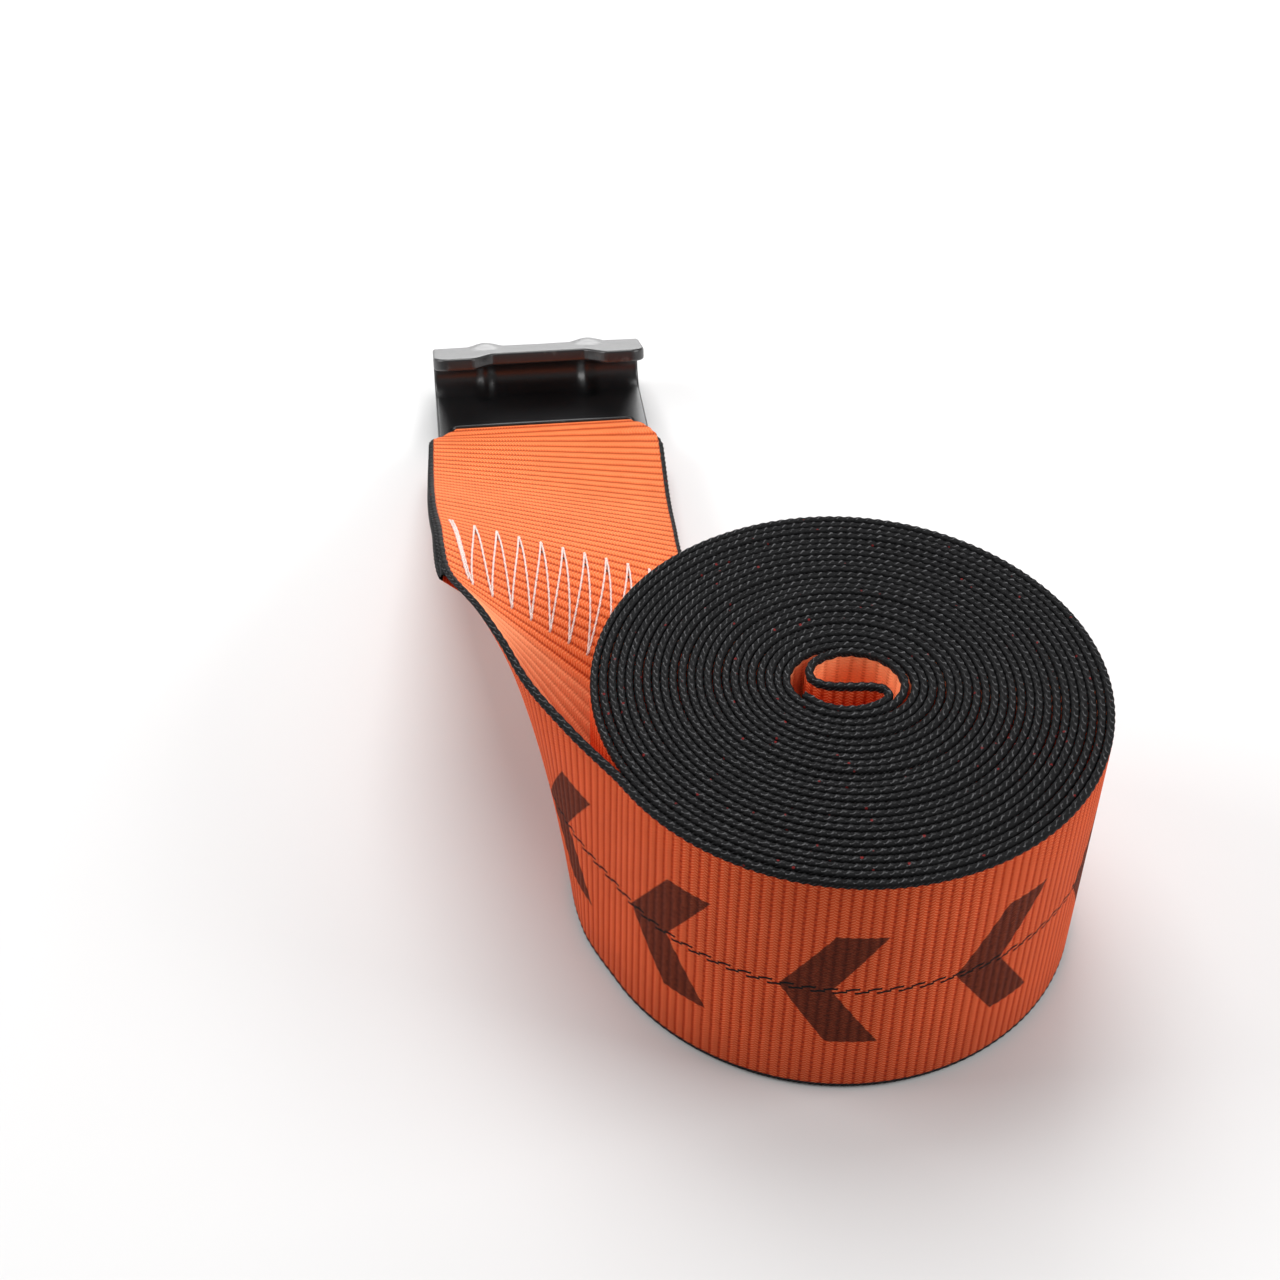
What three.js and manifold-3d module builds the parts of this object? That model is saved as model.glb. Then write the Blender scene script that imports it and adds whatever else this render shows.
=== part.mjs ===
// Winch strap: a 4 inch webbing strap rolled up on its edge, its tail sewn round the slot bar
// of a formed flat hook. Millimetres, +Z up. It is built round the roll's axis, and the finished group
// is moved so that its origin is the centre of its outline on the floor.

import * as THREE from 'three';
import { mergeVertices } from 'three/addons/utils/BufferGeometryUtils.js';
import Module from 'manifold-3d';

const wasm = await Module();
wasm.setup();

// Webbing
const WEBBING_WIDTH = 101.6;
const WEBBING_THICKNESS = 2.8;
const FOLD_BACK_LENGTH = 186;

// Roll
const CORE_RADIUS = 12.85;
const TURNS = 25;
const TURN_GAP = 0.15;
const SELVEDGE_GROOVE_DEPTH = 1.1;
const SELVEDGE_GROOVE_WIDTH = 0.9;
const ROLL_FACETS = 28;
const CORE_STRIP_SWING = 5;

// Tail: it leaves the roll at an angle round the axis and runs to the slot bar
const LEAVE_ANGLE = THREE.MathUtils.degToRad(-148);
const TAIL_LEAD_IN = 10;
const BAR_OFFSET = new THREE.Vector2(-39.1, 290.5);
const BAR_YAW = THREE.MathUtils.degToRad(6.9);
const TAIL_SLOPE = THREE.MathUtils.degToRad(10);
const TAIL_STEPS = 46;
const TAIL_STRANDS = 6;
const LOOP_STEPS = 10;
const FOLD_BACK_STEPS = 22;

// Hand-picked stations of the tail: place from the leaving point, height of its lower edge, and lean,
// which is 90 degrees where the webbing stands on edge and 0 where it lies flat
const TAIL_STATIONS = [
  { x: -14.7, y: 21.7, clearance: 0.5, lean: 87.5 },
  { x: -24.6, y: 45.2, clearance: 1, lean: 81.5 },
  { x: -27.6, y: 69.4, clearance: 3.4, lean: 72 },
  { x: -27, y: 91.9, clearance: 10, lean: 57 },
  { x: -26.2, y: 113.3, clearance: 20.5, lean: 40.5 },
  { x: -25.4, y: 136.9, clearance: 30.4, lean: 28 },
  { x: -26, y: 161.9, clearance: 34, lean: 20 },
  { x: -30.3, y: 198.8, clearance: 27.3, lean: 14.6 },
  { x: -34, y: 235.5, clearance: 18, lean: 9.5 },
];

// Flat hook
const PLATE_THICKNESS = 5.5;
const PLATE_WIDTH = 93;
const PLATE_CORNER = 5;
const SLOT_WIDTH = 80;
const SLOT_LENGTH = 9;
const SLOT_END_RADIUS = 2.5;
const BAR_DEPTH = 10;
const BAR_EDGE_RADIUS = 2.2;
const SHANK_LENGTH = 26;
const BEND_RADIUS = 9;
const BEND_STEPS = 14;
const LIP_LENGTH = 28;
const LIP_ANGLE = THREE.MathUtils.degToRad(18);
const LIP_CORNER = 7;
const SCALLOP_DEPTH = 10;
const SCALLOP_WIDTH = 38;
const SCALLOP_RAMP = 11;
const RIB_SPACING = 46;
const RIB_WIDTH = 14;
const RIB_HEIGHT = 2;
const RIB_GROOVE_WIDTH = 8;

// Fits between the webbing and the hook
const LOOP_CLEARANCE = 0.35;
const SLOT_SIDE_CLEARANCE = 0.5;
const PINCH_HOLD = 1.5;
const PINCH_TAPER = 20;
const LAYER_GAP = 0.4;
const LAYER_CLOSING = 32;

// Zigzag seam
const THREAD_DIAMETER = 1.1;
const THREAD_GAP = 0.5;
const SEAM_START = 128;
const SEAM_LENGTH = 56;
const SEAM_EDGE_MARGIN = 7;
const SEAM_ZIGZAGS = 10;
const STITCH_STEPS = 5;
const STITCH_TURN = 1.4;

const BLACK_COAT = new THREE.MeshStandardMaterial({ color: 0x1b1b1d, roughness: 0.42, metalness: 0.3 });
const ORANGE_WEBBING = new THREE.MeshStandardMaterial({ color: 0xf0703a, roughness: 0.85, metalness: 0 });
const WHITE_THREAD = new THREE.MeshStandardMaterial({ color: 0xefe8e4, roughness: 0.7, metalness: 0 });

const UP = new THREE.Vector3(0, 0, 1);
const turnPitch = WEBBING_THICKNESS + TURN_GAP;
const rollRadius = CORE_RADIUS + TURNS * turnPitch;
const pinchedWidth = SLOT_WIDTH - 2 * SLOT_SIDE_CLEARANCE;

// The loop's inside clears the bar at every angle of the hook
const barReach = Math.hypot(BAR_DEPTH / 2 - BAR_EDGE_RADIUS, PLATE_THICKNESS / 2 - BAR_EDGE_RADIUS)
  + BAR_EDGE_RADIUS;
const loopRadius = barReach + LOOP_CLEARANCE + WEBBING_THICKNESS / 2;
const loopOuterRadius = loopRadius + WEBBING_THICKNESS / 2;

const leavePoint = new THREE.Vector2(Math.cos(LEAVE_ANGLE), Math.sin(LEAVE_ANGLE))
  .multiplyScalar(rollRadius - turnPitch / 2);
const barCentre = new THREE.Vector3(
  leavePoint.x + BAR_OFFSET.x,
  leavePoint.y + BAR_OFFSET.y,
  loopOuterRadius,
);
const barAcross = new THREE.Vector3(-Math.cos(BAR_YAW), -Math.sin(BAR_YAW), 0);
const tailEndForward = new THREE.Vector3(
  -Math.sin(BAR_YAW) * Math.cos(TAIL_SLOPE),
  Math.cos(BAR_YAW) * Math.cos(TAIL_SLOPE),
  -Math.sin(TAIL_SLOPE),
);
const tailEndNormal = new THREE.Vector3().crossVectors(tailEndForward, barAcross).normalize();

// Closed mesh to solid and back
function toSolid(geometry) {
  const bare = geometry.clone();
  bare.deleteAttribute('normal');
  bare.deleteAttribute('uv');
  const welded = mergeVertices(bare, 1e-4);
  return new wasm.Manifold(new wasm.Mesh({
    numProp: 3,
    vertProperties: Float32Array.from(welded.attributes.position.array),
    triVerts: Uint32Array.from(welded.index.array),
  }));
}

function toGeometry(solid) {
  const { vertProperties, triVerts } = solid.getMesh();
  const geometry = new THREE.BufferGeometry();
  geometry.setAttribute('position', new THREE.BufferAttribute(vertProperties, 3));
  geometry.setIndex(new THREE.BufferAttribute(triVerts, 1));
  geometry.computeVertexNormals();
  return geometry;
}

function makeMesh(name, geometry, material) {
  const mesh = new THREE.Mesh(geometry, material);
  mesh.name = name;
  return mesh;
}

function smoothStep(value) {
  return THREE.MathUtils.smoothstep(value, 0, 1);
}

// Roll: one turned body whose two ends show a groove between each pair of turns
function endOutline(height, inward, landOffsets) {
  const grooveBottom = height + inward * SELVEDGE_GROOVE_DEPTH;
  const points = [];
  for (let turn = 0; turn < TURNS; turn += 1) {
    const inner = CORE_RADIUS + turn * turnPitch;
    points.push(new THREE.Vector2(inner, grooveBottom));
    for (const offset of landOffsets) points.push(new THREE.Vector2(inner + offset, height));
  }
  points.push(new THREE.Vector2(rollRadius, grooveBottom));
  return points;
}

// The roll stands on flat lands, and its top shows one crown for each turn
function rollProfile() {
  const lands = [SELVEDGE_GROOVE_WIDTH / 2, turnPitch - SELVEDGE_GROOVE_WIDTH / 2];
  const base = endOutline(0, 1, lands);
  const top = endOutline(WEBBING_WIDTH, -1, [turnPitch / 2]).reverse();
  return [...base, ...top, base[0].clone()];
}

function rollSolid() {
  const turned = new THREE.LatheGeometry(rollProfile(), ROLL_FACETS);
  turned.rotateX(Math.PI / 2);
  return toSolid(turned);
}

// The webbing's inner end crosses the bore in an S
function coreStripSolid() {
  const reach = CORE_RADIUS + turnPitch / 2;
  const middle = new THREE.CatmullRomCurve3([
    new THREE.Vector3(-reach, 0, 0),
    new THREE.Vector3(-reach / 2, -CORE_STRIP_SWING, 0),
    new THREE.Vector3(0, 0, 0),
    new THREE.Vector3(reach / 2, CORE_STRIP_SWING, 0),
    new THREE.Vector3(reach, 0, 0),
  ]);
  const strip = new THREE.BoxGeometry(1, WEBBING_THICKNESS, WEBBING_WIDTH - 2 * SELVEDGE_GROOVE_DEPTH, 14, 1, 1);
  bend(strip, (along, across, up) => {
    const t = along + 0.5;
    const point = middle.getPoint(t);
    const side = new THREE.Vector3().crossVectors(UP, middle.getTangent(t));
    return point.addScaledVector(side, across).setZ(up + WEBBING_WIDTH / 2);
  });
  return toSolid(strip);
}

// Moves every vertex of a straight box along a route
function bend(geometry, place) {
  const position = geometry.attributes.position;
  for (let i = 0; i < position.count; i += 1) {
    const moved = place(position.getX(i), position.getY(i), position.getZ(i));
    position.setXYZ(i, moved.x, moved.y, moved.z);
  }
  return geometry;
}

// Tail route: a smooth middle line and the lean of the webbing along it
function stationHeight(station) {
  const lean = THREE.MathUtils.degToRad(station.lean);
  return station.clearance + Math.sin(lean) * WEBBING_WIDTH / 2;
}

const leaveForward = new THREE.Vector3(Math.sin(LEAVE_ANGLE), -Math.cos(LEAVE_ANGLE), 0);
const tailStart = new THREE.Vector3(leavePoint.x, leavePoint.y, WEBBING_WIDTH / 2);
const tailEnd = barCentre.clone().addScaledVector(tailEndNormal, loopRadius);
const tailPoints = [
  tailStart.clone().addScaledVector(leaveForward, -TAIL_LEAD_IN),
  tailStart,
  ...TAIL_STATIONS.map((station) => new THREE.Vector3(
    leavePoint.x + station.x,
    leavePoint.y + station.y,
    stationHeight(station),
  )),
  tailEnd.clone().addScaledVector(tailEndForward, -TAIL_LEAD_IN),
  tailEnd,
];
const tailMiddle = new THREE.CatmullRomCurve3(tailPoints, false, 'centripetal');
const tailLength = tailMiddle.getLength();
const leanPoints = [90, 90, ...TAIL_STATIONS.map((station) => station.lean), 2, 0]
  .map((lean, index) => new THREE.Vector2(index, THREE.MathUtils.degToRad(lean)));
const tailLean = new THREE.SplineCurve(leanPoints);

// Frame of the top layer at a distance back from the slot bar
function topLayerFrame(back) {
  const t = tailMiddle.getUtoTmapping(1 - back / tailLength);
  const forward = tailMiddle.getTangent(t);
  const lean = tailLean.getPoint(t).y;
  const level = new THREE.Vector3().crossVectors(UP, forward).normalize();
  const across = level.multiplyScalar(Math.cos(lean)).addScaledVector(UP, Math.sin(lean));
  across.addScaledVector(forward, -across.dot(forward)).normalize();
  const normal = new THREE.Vector3().crossVectors(forward, across);
  return { centre: tailMiddle.getPoint(t), across, normal };
}

function foldBackFrame(back) {
  const frame = topLayerFrame(back);
  const closed = smoothStep(back / LAYER_CLOSING);
  const spacing = THREE.MathUtils.lerp(2 * loopRadius, WEBBING_THICKNESS + LAYER_GAP, closed);
  frame.centre.addScaledVector(frame.normal, -spacing);
  frame.normal.negate();
  return frame;
}

function loopFrame(turn) {
  const outward = tailEndNormal.clone().multiplyScalar(Math.cos(turn))
    .addScaledVector(tailEndForward, Math.sin(turn));
  const centre = barCentre.clone().addScaledVector(outward, loopRadius);
  return { centre, across: barAcross.clone(), normal: outward };
}

// The webbing is folded in at its corners to pass the slot
function widthAt(back) {
  const opened = THREE.MathUtils.clamp((back - PINCH_HOLD) / PINCH_TAPER, 0, 1);
  return THREE.MathUtils.lerp(pinchedWidth, WEBBING_WIDTH, opened);
}

function tailSolid() {
  const lastStep = TAIL_STEPS + LOOP_STEPS + FOLD_BACK_STEPS;
  const strip = new THREE.BoxGeometry(1, WEBBING_THICKNESS, lastStep, TAIL_STRANDS, 1, lastStep);
  bend(strip, (acrossShare, layer, along) => {
    const step = Math.round(along + lastStep / 2);
    let frame;
    let width = pinchedWidth;
    if (step <= TAIL_STEPS) {
      const back = tailLength * (1 - step / TAIL_STEPS);
      frame = topLayerFrame(back);
      width = widthAt(back);
    } else if (step <= TAIL_STEPS + LOOP_STEPS) {
      frame = loopFrame(Math.PI * (step - TAIL_STEPS) / LOOP_STEPS);
    } else {
      const back = FOLD_BACK_LENGTH * (step - TAIL_STEPS - LOOP_STEPS) / FOLD_BACK_STEPS;
      frame = foldBackFrame(back);
      width = widthAt(back);
    }
    return frame.centre.addScaledVector(frame.across, acrossShare * width)
      .addScaledVector(frame.normal, layer);
  });
  return toSolid(strip);
}

function webbing() {
  const whole = rollSolid().add(coreStripSolid()).add(tailSolid());
  return makeMesh('webbing_strap', toGeometry(whole), ORANGE_WEBBING);
}

// Route of the zigzag on the sewn layers: x is the distance back from the slot bar, y is across
function seamRoute() {
  const span = WEBBING_WIDTH / 2 - SEAM_EDGE_MARGIN;
  const route = [];
  for (let stitch = 0; stitch <= 2 * SEAM_ZIGZAGS; stitch += 1) {
    const back = SEAM_START + (stitch % 2) * SEAM_LENGTH;
    const side = THREE.MathUtils.lerp(span, -span, stitch / (2 * SEAM_ZIGZAGS));
    const entry = new THREE.Vector2(back, side + STITCH_TURN / 2);
    const last = route.at(-1);
    for (let step = 1; last && step < STITCH_STEPS; step += 1) {
      route.push(last.clone().lerp(entry, step / STITCH_STEPS));
    }
    route.push(entry, new THREE.Vector2(back, side - STITCH_TURN / 2));
  }
  return route;
}

// Zigzag thread laid on one face of the sewn layers. hand is 1 on the top layer, whose distances
// run against its route, and -1 on the fold-back
function seam(name, frameAt, hand) {
  const route = seamRoute();
  const lastPoint = route.length - 1;
  const lift = WEBBING_THICKNESS / 2 + THREAD_GAP + THREAD_DIAMETER / 2;
  const thread = new THREE.BoxGeometry(THREAD_DIAMETER, THREAD_DIAMETER, lastPoint, 1, 1, lastPoint);
  bend(thread, (sideways, raised, along) => {
    const index = Math.round(along + lastPoint / 2);
    const point = route[index];
    const arriving = point.clone().sub(route[Math.max(index - 1, 0)]).normalize();
    const leaving = route[Math.min(index + 1, lastPoint)].clone().sub(point).normalize();
    const heading = arriving.clone().add(leaving).normalize();
    const mitre = sideways * hand / Math.max(heading.dot(arriving), heading.dot(leaving));
    const frame = frameAt(point.x + heading.y * mitre);
    return frame.centre
      .addScaledVector(frame.across, point.y - heading.x * mitre)
      .addScaledVector(frame.normal, lift + raised);
  });
  return makeMesh(name, thread, WHITE_THREAD);
}

// Flat hook: u runs along the shank from the bar's axis, v is the plate's upward side
const shankEnd = BAR_DEPTH / 2 + SLOT_LENGTH + SHANK_LENGTH;
const bendOuterRadius = BEND_RADIUS + PLATE_THICKNESS;
const bendCentre = new THREE.Vector2(shankEnd, PLATE_THICKNESS / 2 + BEND_RADIUS);
const plateTop = PLATE_THICKNESS / 2;
const sideMargin = PLATE_WIDTH / 2;

function bendPoint(radius, turn) {
  return new THREE.Vector2(
    bendCentre.x + radius * Math.sin(turn),
    bendCentre.y - radius * Math.cos(turn),
  );
}

const bendSweep = Math.PI - LIP_ANGLE;
const lipForward = new THREE.Vector2(-Math.cos(LIP_ANGLE), Math.sin(LIP_ANGLE));

function sideOutline() {
  const outline = new THREE.Shape();
  const near = -BAR_DEPTH / 2;
  outline.moveTo(near + BAR_EDGE_RADIUS, -plateTop);
  outline.lineTo(shankEnd, -plateTop);
  for (let step = 1; step <= BEND_STEPS; step += 1) {
    const point = bendPoint(bendOuterRadius, bendSweep * step / BEND_STEPS);
    outline.lineTo(point.x, point.y);
  }
  const lipOuter = bendPoint(bendOuterRadius, bendSweep).addScaledVector(lipForward, LIP_LENGTH);
  const lipInner = bendPoint(BEND_RADIUS, bendSweep).addScaledVector(lipForward, LIP_LENGTH);
  outline.lineTo(lipOuter.x, lipOuter.y);
  outline.lineTo(lipInner.x, lipInner.y);
  for (let step = BEND_STEPS; step >= 0; step -= 1) {
    const point = bendPoint(BEND_RADIUS, bendSweep * step / BEND_STEPS);
    outline.lineTo(point.x, point.y);
  }
  outline.lineTo(near + BAR_EDGE_RADIUS, plateTop);
  outline.absarc(near + BAR_EDGE_RADIUS, plateTop - BAR_EDGE_RADIUS, BAR_EDGE_RADIUS, Math.PI / 2, Math.PI, false);
  outline.absarc(near + BAR_EDGE_RADIUS, BAR_EDGE_RADIUS - plateTop, BAR_EDGE_RADIUS, Math.PI, 1.5 * Math.PI, false);
  return outline;
}

// An outline in the side view, drawn out across the plate's width
function extrudeAcross(outline, width, curveSegments = 3) {
  const body = new THREE.ExtrudeGeometry(outline, { depth: width, bevelEnabled: false, curveSegments });
  body.translate(0, 0, -width / 2);
  return toSolid(body);
}

function fromPlan(outline, depth, place) {
  const body = new THREE.ExtrudeGeometry(outline, { depth, bevelEnabled: false, curveSegments: 4 });
  body.translate(0, 0, -depth / 2);
  body.applyMatrix4(place);
  return toSolid(body);
}

// Plan of the plate at the bar: x is u, y is across
const PLAN_TO_SIDE = new THREE.Matrix4().makeBasis(
  new THREE.Vector3(1, 0, 0),
  new THREE.Vector3(0, 0, 1),
  new THREE.Vector3(0, -1, 0),
);

function slotCut() {
  const slot = new THREE.Shape();
  const from = BAR_DEPTH / 2;
  const to = from + SLOT_LENGTH;
  const half = SLOT_WIDTH / 2;
  slot.moveTo(from, -half);
  slot.lineTo(to - SLOT_END_RADIUS, -half);
  slot.absarc(to - SLOT_END_RADIUS, -half + SLOT_END_RADIUS, SLOT_END_RADIUS, -Math.PI / 2, 0, false);
  slot.absarc(to - SLOT_END_RADIUS, half - SLOT_END_RADIUS, SLOT_END_RADIUS, 0, Math.PI / 2, false);
  slot.lineTo(from, half);
  slot.closePath();
  return fromPlan(slot, 2 * PLATE_THICKNESS, PLAN_TO_SIDE);
}

// Rounds the bar's inner edges, so that the bar turns freely in the webbing
function barEdgeCuts() {
  const edge = BAR_DEPTH / 2;
  return [1, -1].map((side) => {
    const corner = new THREE.Shape();
    corner.moveTo(edge - BAR_EDGE_RADIUS, side * (plateTop + 1));
    corner.lineTo(edge - BAR_EDGE_RADIUS, side * plateTop);
    const start = side * Math.PI / 2;
    corner.absarc(edge - BAR_EDGE_RADIUS, side * (plateTop - BAR_EDGE_RADIUS), BAR_EDGE_RADIUS, start, 0, side > 0);
    corner.lineTo(edge + 1, side * (plateTop - BAR_EDGE_RADIUS));
    corner.lineTo(edge + 1, side * (plateTop + 1));
    corner.closePath();
    return extrudeAcross(corner, SLOT_WIDTH);
  });
}

// Waste outside the plate's rounded corners at the bar
function barCornerCuts() {
  const near = -BAR_DEPTH / 2;
  return [1, -1].map((side) => {
    const waste = new THREE.Shape();
    const centre = new THREE.Vector2(near + PLATE_CORNER, side * (sideMargin - PLATE_CORNER));
    waste.moveTo(near - 1, side * (sideMargin - PLATE_CORNER));
    waste.lineTo(near, centre.y);
    waste.absarc(centre.x, centre.y, PLATE_CORNER, Math.PI, side * Math.PI / 2, side > 0);
    waste.lineTo(centre.x, side * (sideMargin + 1));
    waste.lineTo(near - 1, side * (sideMargin + 1));
    waste.closePath();
    return fromPlan(waste, 2 * PLATE_THICKNESS, PLAN_TO_SIDE);
  });
}

// Waste beyond the lip's edge: x runs along the lip from its root, y is across
function lipEdgeCut() {
  const tip = LIP_LENGTH;
  const beyond = tip + 2;
  const edge = new THREE.Shape();
  const outer = sideMargin + 1;
  const flat = SCALLOP_WIDTH / 2;
  const ramp = flat + SCALLOP_RAMP;
  edge.moveTo(beyond, -outer);
  edge.lineTo(beyond, outer);
  edge.lineTo(tip - LIP_CORNER, outer);
  edge.lineTo(tip - LIP_CORNER, sideMargin);
  edge.absarc(tip - LIP_CORNER, sideMargin - LIP_CORNER, LIP_CORNER, Math.PI / 2, 0, true);
  edge.lineTo(tip, ramp);
  edge.bezierCurveTo(tip, ramp - SCALLOP_RAMP / 2, tip - SCALLOP_DEPTH, flat + SCALLOP_RAMP / 2, tip - SCALLOP_DEPTH, flat);
  edge.lineTo(tip - SCALLOP_DEPTH, -flat);
  edge.bezierCurveTo(tip - SCALLOP_DEPTH, -flat - SCALLOP_RAMP / 2, tip, -ramp + SCALLOP_RAMP / 2, tip, -ramp);
  edge.lineTo(tip, -sideMargin + LIP_CORNER);
  edge.absarc(tip - LIP_CORNER, -sideMargin + LIP_CORNER, LIP_CORNER, 0, -Math.PI / 2, true);
  edge.lineTo(tip - LIP_CORNER, -outer);
  edge.closePath();
  const root = bendPoint((BEND_RADIUS + bendOuterRadius) / 2, bendSweep);
  const place = new THREE.Matrix4().makeBasis(
    new THREE.Vector3(lipForward.x, lipForward.y, 0),
    new THREE.Vector3(0, 0, 1),
    new THREE.Vector3(lipForward.y, -lipForward.x, 0),
  ).setPosition(root.x, root.y, 0);
  return fromPlan(edge, 2 * PLATE_THICKNESS, place);
}

// A ring round the bend's axis, kept only where the bend faces away from the throat
function bendRing(innerRadius, outerRadius, width, middle) {
  const half = width / 2;
  const ring = new THREE.LatheGeometry([
    new THREE.Vector2(innerRadius, middle - half),
    new THREE.Vector2(outerRadius - RIB_HEIGHT, middle - half),
    new THREE.Vector2(outerRadius, middle - half / 2.5),
    new THREE.Vector2(outerRadius, middle + half / 2.5),
    new THREE.Vector2(outerRadius - RIB_HEIGHT, middle + half),
    new THREE.Vector2(innerRadius, middle + half),
    new THREE.Vector2(innerRadius, middle - half),
  ], 2 * BEND_STEPS);
  ring.rotateX(Math.PI / 2);
  ring.translate(bendCentre.x, bendCentre.y, 0);
  const reach = 2 * bendOuterRadius;
  const keep = new THREE.BoxGeometry(reach, reach, PLATE_WIDTH);
  keep.translate(bendCentre.x + reach / 2 - 1, bendCentre.y + reach / 2 - PLATE_THICKNESS, 0);
  return toSolid(ring).intersect(toSolid(keep));
}

function hookSolid() {
  let solid = extrudeAcross(sideOutline(), PLATE_WIDTH);
  const cuts = [slotCut(), ...barEdgeCuts(), ...barCornerCuts(), lipEdgeCut()];
  for (const cut of cuts) solid = solid.subtract(cut);
  for (const side of [-1, 1]) {
    const middle = side * RIB_SPACING / 2;
    const grooveDepth = BEND_RADIUS + RIB_HEIGHT;
    solid = solid.add(bendRing(bendOuterRadius - RIB_HEIGHT, bendOuterRadius + RIB_HEIGHT, RIB_WIDTH, middle));
    solid = solid.subtract(bendRing(BEND_RADIUS - RIB_HEIGHT, grooveDepth, RIB_GROOVE_WIDTH, middle));
  }
  return solid;
}

// The hook lies in the loop with its bend on the floor
function flatHook() {
  const hook = makeMesh('flat_hook', toGeometry(hookSolid()), BLACK_COAT);
  const tilt = bendCentre.angle() + Math.asin((barCentre.z - bendOuterRadius) / bendCentre.length());
  const forward = new THREE.Vector3(
    -Math.sin(BAR_YAW) * Math.cos(tilt),
    Math.cos(BAR_YAW) * Math.cos(tilt),
    -Math.sin(tilt),
  );
  const right = barAcross.clone().negate();
  const upward = new THREE.Vector3().crossVectors(right, forward);
  hook.applyMatrix4(new THREE.Matrix4().makeBasis(forward, upward, right).setPosition(barCentre));
  return hook;
}

const winchStrap = new THREE.Group();
winchStrap.add(webbing());
winchStrap.add(seam('needle_thread', topLayerFrame, 1));
winchStrap.add(seam('bobbin_thread', foldBackFrame, -1));
winchStrap.add(flatHook());

const outlineBox = new THREE.Box3().setFromObject(winchStrap, true);
const outlineCentre = outlineBox.getCenter(new THREE.Vector3());
winchStrap.position.set(-outlineCentre.x, -outlineCentre.y, -outlineBox.min.z);

export default winchStrap;
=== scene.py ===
"""Winch strap: webbing rolled on its edge, its twisted tail sewn round the bar of a formed flat hook.

Lengths are in millimetres round the roll's axis, and become metres in the row frame when a mesh is made.
"""

import logging
import math
from dataclasses import dataclass, field
from enum import Enum
from typing import Any, Mapping, Sequence

import bmesh
import bpy
import numpy as np
from mathutils import Matrix, Vector


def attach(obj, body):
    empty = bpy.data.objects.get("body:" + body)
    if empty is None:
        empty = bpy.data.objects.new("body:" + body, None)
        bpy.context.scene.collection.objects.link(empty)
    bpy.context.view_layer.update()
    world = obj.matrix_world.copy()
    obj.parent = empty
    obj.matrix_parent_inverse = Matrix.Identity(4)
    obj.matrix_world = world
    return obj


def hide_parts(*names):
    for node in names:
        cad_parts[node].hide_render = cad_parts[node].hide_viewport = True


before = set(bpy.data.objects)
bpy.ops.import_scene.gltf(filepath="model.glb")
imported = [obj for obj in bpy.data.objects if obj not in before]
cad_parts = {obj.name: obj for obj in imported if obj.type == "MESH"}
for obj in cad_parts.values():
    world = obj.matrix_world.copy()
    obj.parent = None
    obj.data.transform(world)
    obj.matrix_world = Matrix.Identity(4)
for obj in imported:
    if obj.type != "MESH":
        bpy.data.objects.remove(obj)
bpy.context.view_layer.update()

Array = np.ndarray
log = logging.getLogger("winch_strap")

MILLIMETRE = 0.001
ROLL_AXIS = np.array([38.7697, -109.8140, 0.0196])
UP = np.array([0.0, 0.0, 1.0])
WEAVE = "weave"


def to_row(points: Array) -> Array:
    """Turns roll-axis millimetres into row-frame metres."""
    return (points + ROLL_AXIS) * MILLIMETRE


def unit(vectors: Array) -> Array:
    """Scales each vector to length one."""
    return vectors / np.linalg.norm(vectors, axis=-1, keepdims=True)


def smoothstep(value: Array | float) -> Array:
    """Eases from 0 to 1."""
    held = np.clip(value, 0.0, 1.0)
    return held * held * (3.0 - 2.0 * held)


def hermite(start: Array, leave: Array, end: Array, arrive: Array, t: Array) -> Array:
    """Evaluates a cubic span.

    Args:
        start: Value at t = 0.
        leave: Slope at t = 0.
        end: Value at t = 1.
        arrive: Slope at t = 1.
        t: Parameters.

    Returns:
        The values at t.
    """
    square, cube = t * t, t * t * t
    return (
        start * (2 * cube - 3 * square + 1)
        + leave * (cube - 2 * square + t)
        + end * (3 * square - 2 * cube)
        + arrive * (cube - square)
    )


def centripetal(stations: Array, per_span: int) -> tuple[Array, Array]:
    """Samples a centripetal Catmull-Rom curve.

    Args:
        stations: Points that the curve passes.
        per_span: Samples between two stations.

    Returns:
        The sampled points and the station index of each.
    """
    ends = np.vstack([2 * stations[0] - stations[1], stations, 2 * stations[-1] - stations[-2]])
    t = np.linspace(0.0, 1.0, per_span, endpoint=False)[:, None]
    points, index = [], []
    for span in range(len(stations) - 1):
        a, b, c, d = ends[span:span + 4]
        before, middle, after = (math.sqrt(np.linalg.norm(q)) for q in (b - a, c - b, d - c))
        leave = ((b - a) / before - (c - a) / (before + middle) + (c - b) / middle) * middle
        arrive = ((c - b) / middle - (d - b) / (middle + after) + (d - c) / after) * middle
        points.append(hermite(b, leave, c, arrive, t))
        index.append(span + t[:, 0])
    points.append(stations[-1:])
    index.append(np.array([len(stations) - 1.0]))
    return np.vstack(points), np.concatenate(index)


def eased_values(values: Array, index: Array) -> Array:
    """Reads values at fractional station indices.

    Args:
        values: One value for each station.
        index: Fractional indices.

    Returns:
        The values at the indices, smooth from station to station.
    """
    span = np.clip(np.floor(index).astype(int), 0, len(values) - 2)
    before = values[np.maximum(span - 1, 0)]
    after = values[np.minimum(span + 2, len(values) - 1)]
    start, end = values[span], values[span + 1]
    return hermite(start, (end - before) / 2, end, (after - start) / 2, index - span)


def run_length(points: Array) -> Array:
    """Gives the distance along a line of points at each of them."""
    steps = np.linalg.norm(np.diff(points, axis=0), axis=1)
    return np.concatenate([[0.0], np.cumsum(steps)])


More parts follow.
